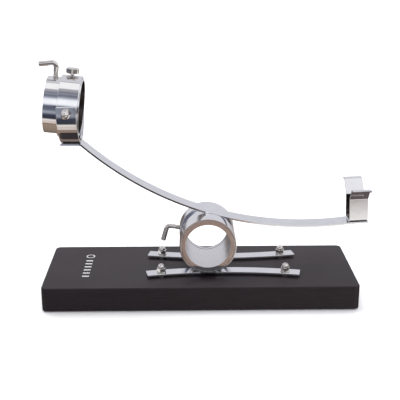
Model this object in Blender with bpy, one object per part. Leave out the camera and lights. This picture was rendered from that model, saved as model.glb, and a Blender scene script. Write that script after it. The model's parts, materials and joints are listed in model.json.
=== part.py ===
"""A tilting ham stand: board, bowed straps, hub, rocking arm, two-ring hoof holder and flared cradle.

Metres, +Z up. The origin is on the floor, straight below the hub's tilt axis and midway between its collars.
+X runs along the board to the cradle, and the hub's axis is along Y.
"""

from math import atan2, cos, pi, radians, sin, sqrt

import bmesh
import bpy
from mathutils import Matrix, Vector

MM = 0.001
GAP = 0.3 * MM  # between faces that touch on the real object
CUT_PAST = 10 * MM  # how far a cutter runs past the face it opens

# Board and feet
BOARD_LENGTH = 500 * MM
BOARD_WIDTH = 180 * MM
BOARD_TOP = 40 * MM
BOARD_CORNER = 9 * MM
BOARD_EDGE = 1.5 * MM
BOARD_X = -12 * MM  # the board's middle, seen from the hub
FOOT_PROUD = 1.5 * MM
FOOT_THICK = 3 * MM
FOOT_RADIUS = 12 * MM
FOOT_INSET = 24 * MM

# Bowed straps
STRAP_WIDTH = 20 * MM
STRAP_THICK = 3 * MM
STRAP_BOW = 600 * MM
STRAP_LENGTH = 248 * MM
STRAP_X = 25 * MM
STRAP_LIFT = 2.6 * MM
STRAP_Y = 30.65 * MM  # centreline at the straps' middle, where they are closest
BOLT_SPACING = 200 * MM

# M8 fasteners
BOLT = 4.0 * MM
BOLT_HOLE = 4.3 * MM
CHAMFER = 0.6 * MM
NUT_SPARE = 1 * MM  # left free in a dome nut's bore
HEAD_CORNER = 7.5 * MM
HEAD_HIGH = 5.3 * MM
WASHER = 7.6 * MM
WASHER_THICK = 1.6 * MM
THIN_WASHER = 1.2 * MM
PIVOT_WASHER = 7.6 * MM
NUT_HIGH = 12.2 * MM
NUT_HEX = 5.6 * MM
NUT_DOME = 5.75 * MM
NUT_BORE_DEEP = 9 * MM
RECESS = 9.5 * MM  # its depth, up from the floor
RECESS_RADIUS = 9.5 * MM

# Hub: two fixed collars and a tube that turns in them, with the arm on it between the collars
HUB_RADIUS = 45.6 * MM
HUB_BORE = 36 * MM
HUB_HALF = 45 * MM
TUBE_RADIUS = 42.4 * MM
COLLAR_BORE = 42.7 * MM
COLLAR_FROM = 17 * MM
LEVER_Y = 26 * MM
LEVER_RISE = radians(8.8)
LEVER_REACH = 66.5 * MM
LEVER_ARM = 26.5 * MM
LEVER_SPLAY = radians(7)

# Arm, fork and cradle are bent from flat strip
STRIP_WIDTH = 32 * MM
STRIP_THICK = 3 * MM
ARM_RADIUS = 530 * MM  # of its upper face
ARM_LEAN = radians(15.9)  # from straight up, where the arm touches the hub
ARM_LEFT = radians(-41.95)  # slope at the fork end
ARM_RIGHT = radians(8.0)  # slope where the bow ends, before the cradle
TAIL_SLOPE = radians(2.5)
ARM_TAIL = 29 * MM
SEAT_BEND = 5 * MM
SEAT_LENGTH = 29.5 * MM

# Hoof holder
PIVOT_X = -213.5 * MM
FORK_RADIUS = 53.0 * MM  # of its inner face
FORK_WIDTH = 30 * MM
FORK_EAR = 9.6 * MM
HOLDER_TILT = radians(6.0)
OUTER_RADIUS = 48.2 * MM
OUTER_BORE = 44.5 * MM
OUTER_LEFT = -15.5 * MM
OUTER_RIGHT = 15.4 * MM
RING_RADIUS = 44.0 * MM
RING_BORE = 41.0 * MM
RING_LEFT = -37 * MM
RING_RIGHT = 17.2 * MM
GROOVE_HALF = 3.6 * MM
GROOVE_DEEP = 1.4 * MM
LOCK_X = 0 * MM
CLAMP_X = -25.3 * MM
CLAMP_TIP = 36 * MM
CLAMP_REACH = 66 * MM
CLAMP_ARM = 27 * MM
CLAMP_DROP = radians(10.5)
CLAMP_POINT = 5 * MM
ROD = 4.0 * MM
ROD_BEND = 5.5 * MM
SPIKE_ANGLE = radians(30)
SPIKE_LONG = 8 * MM
SPIKE_RADIUS = 2.2 * MM
LOCK_SHANK = 3.0 * MM
LOCK_HOLE = 3.3 * MM
LOCK_HEAD = 9.9 * MM
LOCK_HEAD_LOW = 51.9 * MM  # heights are counted from the ring's axis
LOCK_HEAD_HIGH = 59.7 * MM
LOCK_NECK = 4.5 * MM

# Cradle, across its strip: the points that its middle line turns at
CRADLE_WIDTH = 30 * MM
CRADLE_THICK = 2.2 * MM
CRADLE_HALF = 14.6 * MM
CRADLE_WALL = 37.6 * MM
FLARE_HALF = 31.5 * MM
FLARE_TOP = 57.4 * MM
LIP_HALF = 43 * MM
CRADLE_BEND = 3.2 * MM
CRADLE_FROM_END = 16 * MM

ROUND = 48  # sides of a ring
SMALL_ROUND = 16  # sides of a washer
HEX_ROUND = 12  # sides of a nut's dome, two for each flat

CHROME = ((0.62, 0.62, 0.65), 0.08, 1.0)
NICKEL = ((0.52, 0.50, 0.47), 0.22, 1.0)
BLACK_BOARD = ((0.035, 0.033, 0.036), 0.42, 0.0)
RUBBER = ((0.03, 0.03, 0.03), 0.8, 0.0)


# ---------------------------------------------------------------- helpers


def clear_scene():
    for obj in list(bpy.data.objects):
        bpy.data.objects.remove(obj)


def material(name, look):
    colour, roughness, metallic = look
    made = bpy.data.materials.new(name)
    made.use_nodes = True
    shader = made.node_tree.nodes["Principled BSDF"]
    shader.inputs["Base Color"].default_value = (*colour, 1.0)
    shader.inputs["Roughness"].default_value = roughness
    shader.inputs["Metallic"].default_value = metallic
    return made


def add_piece(name, mesh, look, matrix=None):
    piece = bpy.data.objects.new(name, mesh)
    bpy.context.scene.collection.objects.link(piece)
    if matrix is not None:
        piece.matrix_world = matrix
    if look is not None:
        piece.data.materials.append(material(name, look))
    return piece


def finish_mesh(name, shape, sharp=radians(32)):
    bmesh.ops.recalc_face_normals(shape, faces=shape.faces)
    mesh = bpy.data.meshes.new(name)
    shape.to_mesh(mesh)
    shape.free()
    mesh.shade_smooth()
    mesh.set_sharp_from_angle(angle=sharp)
    return mesh


def hex_factor(angle):
    """How far a hexagon's edge lies inside its corners' circle, at an angle."""
    return cos(pi / 6) / cos(angle % (pi / 3) - pi / 6)


def turned(name, profile, sides, ring=False, hexed=()):
    """A solid of revolution about Z, from (radius, height) points.

    ring joins the last point to the first. The points whose numbers are in hexed lie on a hexagon.
    """
    shape = bmesh.new()
    rows = []
    for number, (radius, height) in enumerate(profile):
        if radius == 0:
            rows.append([shape.verts.new((0, 0, height))] * sides)
            continue
        row = []
        for step in range(sides):
            angle = 2 * pi * step / sides
            reach = radius * hex_factor(angle) if number in hexed else radius
            row.append(shape.verts.new((reach * cos(angle), reach * sin(angle), height)))
        rows.append(row)
    if ring:
        rows.append(rows[0])
    for low, high in zip(rows, rows[1:]):
        for step in range(sides):
            after = (step + 1) % sides
            corners = [low[step], low[after], high[after], high[step]]
            unique = list(dict.fromkeys(corners))
            shape.faces.new(unique)
    return finish_mesh(name, shape)


def tube(name, bore, radius, low, high, sides=ROUND):
    return turned(name, [(bore, low), (radius, low), (radius, high), (bore, high)], sides, ring=True)


def prism(name, outline, low, high):
    """A flat outline in XY, extruded from one height to another."""
    shape = bmesh.new()
    base = shape.faces.new([shape.verts.new((x, y, low)) for x, y in outline])
    made = bmesh.ops.extrude_face_region(shape, geom=[base])
    moved = [item for item in made["geom"] if isinstance(item, bmesh.types.BMVert)]
    bmesh.ops.translate(shape, verts=moved, vec=(0, 0, high - low))
    return finish_mesh(name, shape)


def arc(centre, radius, start, end, steps):
    """Points on an arc; angles are counted from +X towards +Y of the plane."""
    return [
        (centre[0] + radius * cos(a), centre[1] + radius * sin(a))
        for a in (start + (end - start) * step / steps for step in range(steps + 1))
    ]


def thickened(path, thickness):
    """The closed outline of a strip whose middle line is path."""
    points = [Vector(point) for point in path]
    left, right = [], []
    for number, point in enumerate(points):
        before = (point - points[number - 1]).normalized() if number else None
        after = (points[number + 1] - point).normalized() if number + 1 < len(points) else None
        heading = ((before or after) + (after or before)).normalized()
        normal = Vector((-heading.y, heading.x))
        reach = thickness / 2 / abs(normal.dot(Vector((-(after or before).y, (after or before).x))))
        left.append(point + normal * reach)
        right.append(point - normal * reach)
    return [tuple(point) for point in left + right[::-1]]


def rounded(corners, radius, steps=4):
    """A path through corners, each inner one rounded to radius."""
    path = [corners[0]]
    for before, corner, after in zip(corners, corners[1:], corners[2:]):
        here = Vector(corner)
        back = (Vector(before) - here).normalized()
        ahead = (Vector(after) - here).normalized()
        half = back.angle(ahead) / 2
        centre = here + (back + ahead).normalized() * radius / sin(half)
        first = here + back * radius / (sin(half) / cos(half)) - centre
        last = here + ahead * radius / (sin(half) / cos(half)) - centre
        turn = atan2(first.x * last.y - first.y * last.x, first.dot(last))
        start = atan2(first.y, first.x)
        path += arc(centre, radius, start, start + turn, steps)
    return path + [corners[-1]]


def rod(name, path, sides=HEX_ROUND, point=0.0):
    """A round rod along a path in the XY plane, its first end drawn to a point of the given length."""
    points = [Vector((x, y, 0)) for x, y in path]
    radii = [ROD] * len(points)
    if point:
        heading = (points[1] - points[0]).normalized()
        points.insert(1, points[0] + heading * point)
        radii = [ROD * 0.15, *radii]
    shape = bmesh.new()
    rows = []
    for number, (centre, radius) in enumerate(zip(points, radii)):
        before = points[max(number - 1, 0)]
        after = points[min(number + 1, len(points) - 1)]
        heading = (after - before).normalized()
        side = Vector((-heading.y, heading.x, 0))
        up = Vector((0, 0, 1))
        angles = [2 * pi * step / sides for step in range(sides)]
        rows.append([shape.verts.new(centre + radius * (side * cos(a) + up * sin(a))) for a in angles])
    for low, high in zip(rows, rows[1:]):
        for step in range(sides):
            after = (step + 1) % sides
            shape.faces.new([low[step], low[after], high[after], high[step]])
    shape.faces.new(rows[0])
    shape.faces.new(rows[-1][::-1])
    return finish_mesh(name, shape)


def drill(name, radius, low, high):
    """A plain round cutter between two heights."""
    return turned(name, [(0, low), (radius, low), (radius, high), (0, high)], SMALL_ROUND)


def cut(piece, mesh, matrix):
    """Takes the solid of a mesh, placed by a matrix, out of a piece."""
    cutter = add_piece(f"cutter_{piece.name}_{len(piece.modifiers)}", mesh, None, matrix)
    cutter.hide_render = True
    cutter.display_type = "WIRE"
    boolean = piece.modifiers.new("cut", "BOOLEAN")
    boolean.operation = "DIFFERENCE"
    boolean.solver = "EXACT"
    boolean.object = cutter


def along(origin, direction):
    """A matrix that puts Z along a direction from an origin."""
    turn = Vector((0, 0, 1)).rotation_difference(Vector(direction))
    return Matrix.Translation(origin) @ turn.to_matrix().to_4x4()


def plane(origin, first, second):
    """A matrix that puts X and Y along two directions at right angles."""
    first, second = Vector(first), Vector(second)
    turn = Matrix((first, second, first.cross(second))).transposed()
    return Matrix.Translation(origin) @ turn.to_4x4()


# ---------------------------------------------------------------- places worked out from the sizes

STRAP_TOP = BOARD_TOP + STRAP_LIFT + STRAP_THICK
HUB_Z = STRAP_TOP + GAP + HUB_RADIUS
HUB = Vector((0, 0, HUB_Z))

ARM_MIDDLE = ARM_RADIUS + STRIP_THICK / 2
ARM_CENTRE = Vector((sin(ARM_LEAN), cos(ARM_LEAN))) * (TUBE_RADIUS + GAP + STRIP_THICK + ARM_RADIUS)
ARM_CENTRE += Vector((0, HUB_Z))
ARM_LEFT_END = ARM_CENTRE + ARM_MIDDLE * Vector((sin(ARM_LEFT), -cos(ARM_LEFT)))
ARM_RIGHT_END = ARM_CENTRE + ARM_MIDDLE * Vector((sin(ARM_RIGHT), -cos(ARM_RIGHT)))
TAIL_END = ARM_RIGHT_END + ARM_TAIL * Vector((cos(TAIL_SLOPE), sin(TAIL_SLOPE)))

SEAT_BEND_CENTRE = ARM_LEFT_END + SEAT_BEND * Vector((sin(ARM_LEFT), -cos(ARM_LEFT)))
SEAT_Z = SEAT_BEND_CENTRE.y + SEAT_BEND
PIVOT_Z = SEAT_Z + STRIP_THICK / 2 + GAP + STRIP_THICK + FORK_RADIUS
PIVOT = Vector((PIVOT_X, 0, PIVOT_Z))

HOLDER_AXIS = Vector((cos(HOLDER_TILT), 0, -sin(HOLDER_TILT)))
HOLDER_UP = Vector((sin(HOLDER_TILT), 0, cos(HOLDER_TILT)))

BOLT_DROP = STRAP_BOW - sqrt(STRAP_BOW**2 - (BOLT_SPACING / 2) ** 2)
BOLT_Y = STRAP_Y + BOLT_DROP


def bolt_places():
    for side, y in (("front", -BOLT_Y), ("rear", BOLT_Y)):
        for end, x in (("left", -BOLT_SPACING / 2), ("right", BOLT_SPACING / 2)):
            yield f"{side}_{end}", Vector((STRAP_X + x, y, 0))


def foot_places():
    for side, y in (("front", -1), ("rear", 1)):
        for end, x in (("left", -1), ("right", 1)):
            across = x * (BOARD_LENGTH / 2 - FOOT_INSET)
            yield f"{side}_{end}", Vector((BOARD_X + across, y * (BOARD_WIDTH / 2 - FOOT_INSET), 0))


# ---------------------------------------------------------------- base


def make_board():
    half_x, half_y, r = BOARD_LENGTH / 2, BOARD_WIDTH / 2, BOARD_CORNER
    outline = []
    for x, y, start in ((1, 1, 0), (-1, 1, 0.5 * pi), (-1, -1, pi), (1, -1, 1.5 * pi)):
        centre = (BOARD_X + x * (half_x - r), y * (half_y - r))
        outline += arc(centre, r, start, start + 0.5 * pi, 5)
    board = add_piece("base_board", prism("base_board", outline, FOOT_PROUD, BOARD_TOP), BLACK_BOARD)
    eased = board.modifiers.new("eased edges", "BEVEL")
    eased.width = BOARD_EDGE
    eased.segments = 2
    eased.angle_limit = radians(60)
    hole = turned(
        "bolt hole",
        [
            (0, -CUT_PAST),
            (RECESS_RADIUS, -CUT_PAST),
            (RECESS_RADIUS, RECESS),
            (BOLT_HOLE, RECESS),
            (BOLT_HOLE, BOARD_TOP + CUT_PAST),
            (0, BOARD_TOP + CUT_PAST),
        ],
        SMALL_ROUND,
    )
    for _, place in bolt_places():
        cut(board, hole, Matrix.Translation(place))
    seat = drill("foot seat", FOOT_RADIUS + GAP, -CUT_PAST, FOOT_THICK + GAP)
    for _, place in foot_places():
        cut(board, seat, Matrix.Translation(place))


def make_feet():
    edge = 0.5 * MM
    profile = [
        (0, 0),
        (FOOT_RADIUS - edge, 0),
        (FOOT_RADIUS, edge),
        (FOOT_RADIUS, FOOT_THICK),
        (0, FOOT_THICK),
    ]
    for name, place in foot_places():
        mesh = turned("foot", profile, SMALL_ROUND)
        add_piece(f"foot_{name}", mesh, RUBBER, Matrix.Translation(place))


def make_straps():
    half_turn = STRAP_LENGTH / 2 / STRAP_BOW
    low = BOARD_TOP + STRAP_LIFT
    for name, side in (("front", -1), ("rear", 1)):
        middle = side * pi / -2
        centre = (STRAP_X, side * (STRAP_Y + STRAP_BOW))
        path = arc(centre, STRAP_BOW, middle - half_turn, middle + half_turn, 16)
        outline = thickened(path, STRAP_WIDTH)
        mesh = prism(f"strap_{name}", outline, low, low + STRAP_THICK)
        strap = add_piece(f"strap_{name}", mesh, CHROME)
        hole = drill("strap hole", BOLT_HOLE, low - CUT_PAST, STRAP_TOP + CUT_PAST)
        for place_name, place in bolt_places():
            if place_name.startswith(name):
                cut(strap, hole, Matrix.Translation(place))


def washer_mesh(name, thickness, radius=WASHER):
    return tube(name, BOLT_HOLE, radius, 0, thickness, SMALL_ROUND)


def nut_mesh():
    """A dome nut, its open face at height 0."""
    dome_low = NUT_HIGH - NUT_DOME
    dome = [(NUT_DOME * cos(a), dome_low + NUT_DOME * sin(a)) for a in (0, pi / 6, pi / 3)]
    profile = [
        (0, NUT_BORE_DEEP),
        (BOLT_HOLE, NUT_BORE_DEEP),
        (BOLT_HOLE, 0),
        (HEAD_CORNER * 0.86, 0),
        (HEAD_CORNER, CHAMFER),
        (HEAD_CORNER, NUT_HEX),
        (NUT_DOME, NUT_HEX + CHAMFER / 2),
        *dome,
        (0, NUT_HIGH),
    ]
    return turned("dome nut", profile, HEX_ROUND, hexed=(4, 5))


def make_strap_fasteners():
    washer_low = RECESS - GAP - WASHER_THICK
    head_low = washer_low - GAP - HEAD_HIGH
    nut_low = STRAP_TOP + GAP + WASHER_THICK + GAP
    bolt_top = nut_low + NUT_BORE_DEEP - NUT_SPARE
    bolt = [
        (0, head_low),
        (HEAD_CORNER, head_low),
        (HEAD_CORNER, head_low + HEAD_HIGH),
        (BOLT, head_low + HEAD_HIGH),
        (BOLT, bolt_top - CHAMFER),
        (BOLT - CHAMFER, bolt_top),
        (0, bolt_top),
    ]
    spacer_thick = STRAP_LIFT - 2 * GAP
    for name, place in bolt_places():
        def at(height):
            return Matrix.Translation(place + Vector((0, 0, height)))

        add_piece(f"base_bolt_{name}", turned("bolt", bolt, HEX_ROUND, hexed=(1, 2)), NICKEL, at(0))
        add_piece(f"bolt_washer_{name}", washer_mesh("washer", WASHER_THICK), NICKEL, at(washer_low))
        add_piece(f"strap_spacer_{name}", washer_mesh("spacer", spacer_thick), NICKEL, at(BOARD_TOP + GAP))
        add_piece(f"strap_washer_{name}", washer_mesh("washer", WASHER_THICK), NICKEL, at(STRAP_TOP + GAP))
        add_piece(f"dome_nut_{name}", nut_mesh(), NICKEL, at(nut_low))


# ---------------------------------------------------------------- hub


def make_hub():
    lengthways = along(HUB, (0, 1, 0))
    spans = (("front", -HUB_HALF, -COLLAR_FROM), ("rear", COLLAR_FROM, HUB_HALF))
    collars = {}
    for name, low, high in spans:
        mesh = tube(f"hub_collar_{name}", COLLAR_BORE, HUB_RADIUS, low, high)
        collars[name] = add_piece(f"hub_collar_{name}", mesh, CHROME, lengthways)
    add_piece("hub_tube", tube("hub_tube", HUB_BORE, TUBE_RADIUS, -HUB_HALF, HUB_HALF), CHROME, lengthways)

    outward = Vector((-cos(LEVER_RISE), 0, sin(LEVER_RISE)))
    down = Vector((-sin(LEVER_RISE), 0, -cos(LEVER_RISE)))
    root = HUB + Vector((0, LEVER_Y, 0))
    tip = (LEVER_REACH + LEVER_ARM * sin(LEVER_SPLAY), LEVER_ARM * cos(LEVER_SPLAY))
    path = rounded([(TUBE_RADIUS + GAP, 0), (LEVER_REACH, 0), tip], ROD_BEND, 5)
    lever = rod("hub_lock_lever", path)
    add_piece("hub_lock_lever", lever, NICKEL, plane(root, outward, down))
    hole = drill("lever hole", BOLT_HOLE, COLLAR_BORE - CUT_PAST, HUB_RADIUS + CUT_PAST)
    cut(collars["rear"], hole, along(root, outward))


# ---------------------------------------------------------------- arm, fork and cradle


def make_arm():
    """The middle line runs from the cradle end to the flat seat under the fork."""
    big = arc(ARM_CENTRE, ARM_MIDDLE, ARM_RIGHT - pi / 2, ARM_LEFT - pi / 2, 30)
    bend = arc(SEAT_BEND_CENTRE, SEAT_BEND, ARM_LEFT + pi / 2, pi / 2, 5)
    path = [tuple(TAIL_END), *big, *bend[1:], (bend[-1][0] - SEAT_LENGTH, SEAT_Z)]
    mesh = prism("gondola_arm", thickened(path, STRIP_THICK), -STRIP_WIDTH / 2, STRIP_WIDTH / 2)
    add_piece("gondola_arm", mesh, CHROME, plane((0, 0, 0), (1, 0, 0), (0, 0, 1)))


def make_fork():
    """A U of strip across the arm, open at the top, with a stud hole in each ear."""
    middle = FORK_RADIUS + STRIP_THICK / 2
    path = [(middle, FORK_EAR), *arc((0, 0), middle, 0, -pi, 24), (-middle, FORK_EAR)]
    mesh = prism("ring_fork", thickened(path, STRIP_THICK), -FORK_WIDTH / 2, FORK_WIDTH / 2)
    fork = add_piece("ring_fork", mesh, CHROME, plane(PIVOT, (0, 1, 0), (0, 0, 1)))
    half = FORK_RADIUS + CUT_PAST
    hole = drill("ear hole", BOLT_HOLE, -half, half)
    cut(fork, hole, along(PIVOT, (0, 1, 0)))


def make_cradle():
    half_profile = [
        (LIP_HALF, FLARE_TOP),
        (FLARE_HALF, FLARE_TOP),
        (CRADLE_HALF, CRADLE_WALL),
        (CRADLE_HALF, 0),
    ]
    corners = half_profile + [(-y, z) for y, z in reversed(half_profile)]
    mesh = prism("ham_cradle", thickened(rounded(corners, CRADLE_BEND), CRADLE_THICK), 0, CRADLE_WIDTH)
    slope = Vector((cos(TAIL_SLOPE), 0, sin(TAIL_SLOPE)))
    upright = Vector((-sin(TAIL_SLOPE), 0, cos(TAIL_SLOPE)))
    middle = Vector((TAIL_END.x, 0, TAIL_END.y)) - CRADLE_FROM_END * slope
    lift = STRIP_THICK / 2 + GAP + CRADLE_THICK / 2
    origin = middle + lift * upright - slope * CRADLE_WIDTH / 2
    add_piece("ham_cradle", mesh, CHROME, plane(origin, (0, 1, 0), upright))


# ---------------------------------------------------------------- hoof holder


def make_pivots():
    spacer_thick = sqrt(FORK_RADIUS**2 - WASHER**2) - OUTER_RADIUS - 2 * GAP
    washer_low = FORK_RADIUS + STRIP_THICK + GAP
    nut_low = washer_low + THIN_WASHER + GAP
    stud_low, stud_high = OUTER_RADIUS + GAP, nut_low + NUT_BORE_DEEP - NUT_SPARE
    stud = [(0, stud_low), (BOLT, stud_low), (BOLT, stud_high), (0, stud_high)]
    for name, side in (("front", -1), ("rear", 1)):
        outward = Vector((0, side, 0))

        def at(reach):
            return along(PIVOT + outward * reach, outward)

        add_piece(f"pivot_stud_{name}", turned("stud", stud, HEX_ROUND), NICKEL, at(0))
        add_piece(f"pivot_spacer_{name}", washer_mesh("spacer", spacer_thick), NICKEL, at(OUTER_RADIUS + GAP))
        washer = washer_mesh("washer", THIN_WASHER, PIVOT_WASHER)
        add_piece(f"pivot_washer_{name}", washer, NICKEL, at(washer_low))
        add_piece(f"pivot_nut_{name}", nut_mesh(), NICKEL, at(nut_low))


def make_outer_sleeve():
    lengthways = along(PIVOT, HOLDER_AXIS)
    mesh = tube("outer_sleeve", OUTER_BORE, OUTER_RADIUS, OUTER_LEFT, OUTER_RIGHT)
    sleeve = add_piece("outer_sleeve", mesh, CHROME, lengthways)
    hole = drill("lock hole", LOCK_HOLE, OUTER_BORE - CUT_PAST, OUTER_RADIUS + CUT_PAST)
    cut(sleeve, hole, along(PIVOT + HOLDER_AXIS * LOCK_X, HOLDER_UP))


def make_hoof_ring():
    groove = RING_RADIUS - GROOVE_DEEP
    profile = [
        (RING_BORE, RING_LEFT),
        (RING_RADIUS, RING_LEFT),
        (RING_RADIUS, LOCK_X - GROOVE_HALF),
        (groove, LOCK_X - GROOVE_HALF),
        (groove, LOCK_X + GROOVE_HALF),
        (RING_RADIUS, LOCK_X + GROOVE_HALF),
        (RING_RADIUS, RING_RIGHT),
        (RING_BORE, RING_RIGHT),
    ]
    mesh = turned("hoof_ring", profile, ROUND, ring=True)
    ring = add_piece("hoof_ring", mesh, CHROME, along(PIVOT, HOLDER_AXIS))
    hole = drill("clamp hole", BOLT_HOLE, RING_BORE - CUT_PAST, RING_RADIUS + CUT_PAST)
    cut(ring, hole, along(PIVOT + HOLDER_AXIS * CLAMP_X, HOLDER_UP))
    spike = [(0, 0), (SPIKE_RADIUS, 0), (SPIKE_RADIUS, 1 * MM), (0, SPIKE_LONG)]
    root = RING_BORE * cos(pi / ROUND) - GAP
    for number, turn in ((1, -SPIKE_ANGLE), (2, SPIKE_ANGLE)):
        side = Vector((0, sin(turn), 0)) - HOLDER_UP * cos(turn)
        place = PIVOT + HOLDER_AXIS * CLAMP_X + side * root
        add_piece(f"hoof_spike_{number}", turned("spike", spike, HEX_ROUND), NICKEL, along(place, -side))


def make_clamp_screw():
    """Its first end is the point inside the ring; the handle drops away from the sleeve."""
    tip = (CLAMP_REACH - CLAMP_ARM * sin(CLAMP_DROP), CLAMP_ARM * cos(CLAMP_DROP))
    path = rounded([(CLAMP_TIP, 0), (CLAMP_REACH, 0), tip], ROD_BEND, 5)
    mesh = rod("hoof_clamp_screw", path, point=CLAMP_POINT)
    origin = PIVOT + HOLDER_AXIS * CLAMP_X
    add_piece("hoof_clamp_screw", mesh, NICKEL, plane(origin, HOLDER_UP, -HOLDER_AXIS))


def make_lock_screw():
    """Tip in the groove, shank through the sleeve, neck, and a thick round head."""
    tip = RING_RADIUS - GROOVE_DEEP + GAP
    edge = 1.0 * MM
    profile = [
        (0, tip),
        (LOCK_SHANK - CHAMFER, tip),
        (LOCK_SHANK, tip + CHAMFER),
        (LOCK_SHANK, OUTER_RADIUS + edge),
        (LOCK_NECK, LOCK_HEAD_LOW),
        (LOCK_HEAD - edge, LOCK_HEAD_LOW),
        (LOCK_HEAD, LOCK_HEAD_LOW + edge),
        (LOCK_HEAD, LOCK_HEAD_HIGH - edge),
        (LOCK_HEAD - edge, LOCK_HEAD_HIGH),
        (0, LOCK_HEAD_HIGH),
    ]
    mesh = turned("ring_lock_screw", profile, 24)
    add_piece("ring_lock_screw", mesh, NICKEL, along(PIVOT + HOLDER_AXIS * LOCK_X, HOLDER_UP))


def main():
    clear_scene()
    make_board()
    make_feet()
    make_straps()
    make_strap_fasteners()
    make_hub()
    make_arm()
    make_fork()
    make_cradle()
    make_pivots()
    make_outer_sleeve()
    make_hoof_ring()
    make_clamp_screw()
    make_lock_screw()


main()
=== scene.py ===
"""The looks of a tilting ham stand: fine meshes, materials, light and camera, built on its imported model."""

import json
from math import atan2, cos, pi, radians, sin, sqrt

import bmesh
import bpy
from mathutils import Matrix, Vector


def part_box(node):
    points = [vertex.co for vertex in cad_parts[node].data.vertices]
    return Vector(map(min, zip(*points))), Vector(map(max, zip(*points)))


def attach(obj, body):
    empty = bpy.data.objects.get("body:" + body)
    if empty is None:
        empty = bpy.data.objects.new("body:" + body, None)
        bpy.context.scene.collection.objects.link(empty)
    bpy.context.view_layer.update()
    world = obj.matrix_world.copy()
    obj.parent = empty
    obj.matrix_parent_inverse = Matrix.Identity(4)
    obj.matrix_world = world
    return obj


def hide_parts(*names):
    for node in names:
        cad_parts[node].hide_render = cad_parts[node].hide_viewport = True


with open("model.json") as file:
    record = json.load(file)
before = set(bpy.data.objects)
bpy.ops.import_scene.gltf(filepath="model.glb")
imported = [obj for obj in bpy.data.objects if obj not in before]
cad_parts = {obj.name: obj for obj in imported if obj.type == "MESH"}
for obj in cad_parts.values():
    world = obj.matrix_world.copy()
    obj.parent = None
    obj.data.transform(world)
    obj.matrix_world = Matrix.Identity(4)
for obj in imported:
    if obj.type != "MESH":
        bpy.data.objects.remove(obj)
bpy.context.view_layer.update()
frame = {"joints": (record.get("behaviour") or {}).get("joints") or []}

MM = 0.001

# Sizes shared by several pieces
GAP = 0.3 * MM
STRIP_THICK = 3 * MM
ROD = 4 * MM  # radius of the M8 rods, bolts and studs
HOLE = 4.3 * MM
HEX_FLAT = 6.5 * MM  # half the distance across an M8 hexagon's flats
HEX_CORNER = 7.5 * MM
HEAD_HIGH = 5.3 * MM
NUT_HEX = 5.6 * MM  # height of a dome nut's hexagon
NUT_DOME = 5.75 * MM
NUT_BORE_DEEP = 9 * MM
THREAD_PITCH = 1.25 * MM
THREAD_DEEP = 0.7 * MM

BOARD_CORNER = 9 * MM
BOARD_EDGE = 1.8 * MM
RECESS_RADIUS = 9.5 * MM

STRAP_WIDTH = 20 * MM
STRAP_BOW = 600 * MM
STRAP_LENGTH = 248 * MM

HUB_RADIUS = 45.6 * MM
HUB_BORE = 36 * MM
TUBE_RADIUS = 42.4 * MM
COLLAR_BORE = 42.7 * MM
COLLAR_FROM = 17 * MM
LEVER_REACH = 66.5 * MM
LEVER_ARM = 26.5 * MM
LEVER_SPLAY = radians(7)

ARM_RADIUS = 530 * MM
ARM_WIDTH = 32 * MM
ARM_LEAN = radians(15.9)
ARM_LEFT = radians(-41.95)
ARM_RIGHT = radians(8.0)
TAIL_SLOPE = radians(2.5)
ARM_TAIL = 29 * MM
SEAT_BEND = 5 * MM
SEAT_LENGTH = 29.5 * MM

FORK_RADIUS = 53 * MM
FORK_WIDTH = 30 * MM
FORK_EAR = 9.6 * MM

OUTER_RADIUS = 48.2 * MM
OUTER_BORE = 44.5 * MM
OUTER_LEFT = -15.5 * MM
OUTER_RIGHT = 15.4 * MM
RING_RADIUS = 44 * MM
RING_BORE = 41 * MM
RING_LEFT = -37 * MM
RING_RIGHT = 17.2 * MM
GROOVE_HALF = 3.6 * MM
GROOVE_DEEP = 1.4 * MM
CLAMP_X = -25.3 * MM
CLAMP_TIP = 36 * MM
CLAMP_REACH = 66 * MM
CLAMP_ARM = 27 * MM
CLAMP_DROP = radians(10.5)
CLAMP_POINT = 5 * MM
ROD_BEND = 5.5 * MM
SPIKE_ANGLE = radians(30)
SPIKE_LONG = 8 * MM
SPIKE_RADIUS = 2.2 * MM
LOCK_SHANK = 3 * MM
LOCK_HOLE = 3.3 * MM
LOCK_HEAD = 9.9 * MM
LOCK_HEAD_LOW = 51.9 * MM
LOCK_HEAD_HIGH = 59.7 * MM

CRADLE_WIDTH = 30 * MM
CRADLE_THICK = 2.2 * MM
CRADLE_HALF = 14.6 * MM
CRADLE_WALL = 37.6 * MM
FLARE_HALF = 31.5 * MM
FLARE_TOP = 57.4 * MM
LIP_HALF = 43 * MM
CRADLE_BEND = 3.2 * MM
CRADLE_FROM_END = 16 * MM

SIDES = 128  # of a large ring

# Places, from the frame
JOINTS = {joint["name"]: joint for joint in frame["joints"]}
HUB = Vector(JOINTS["gondola_tilt"]["pos_m"])
PIVOT = Vector(JOINTS["head_tilt"]["pos_m"])
HOLDER_AXIS = Vector(JOINTS["ring_spin"]["axis"]).normalized()
HOLDER_UP = Vector(JOINTS["ring_lock_turn"]["axis"]).normalized()
LEVER_OUT = Vector(JOINTS["hub_lever_turn"]["axis"]).normalized()
LEVER_ROOT = Vector(JOINTS["hub_lever_turn"]["pos_m"])
CORNERS = ("front_left", "front_right", "rear_left", "rear_right")
SIDES_OF_STAND = (("front", -1), ("rear", 1))


# ---------------------------------------------------------------- node helpers


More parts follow.
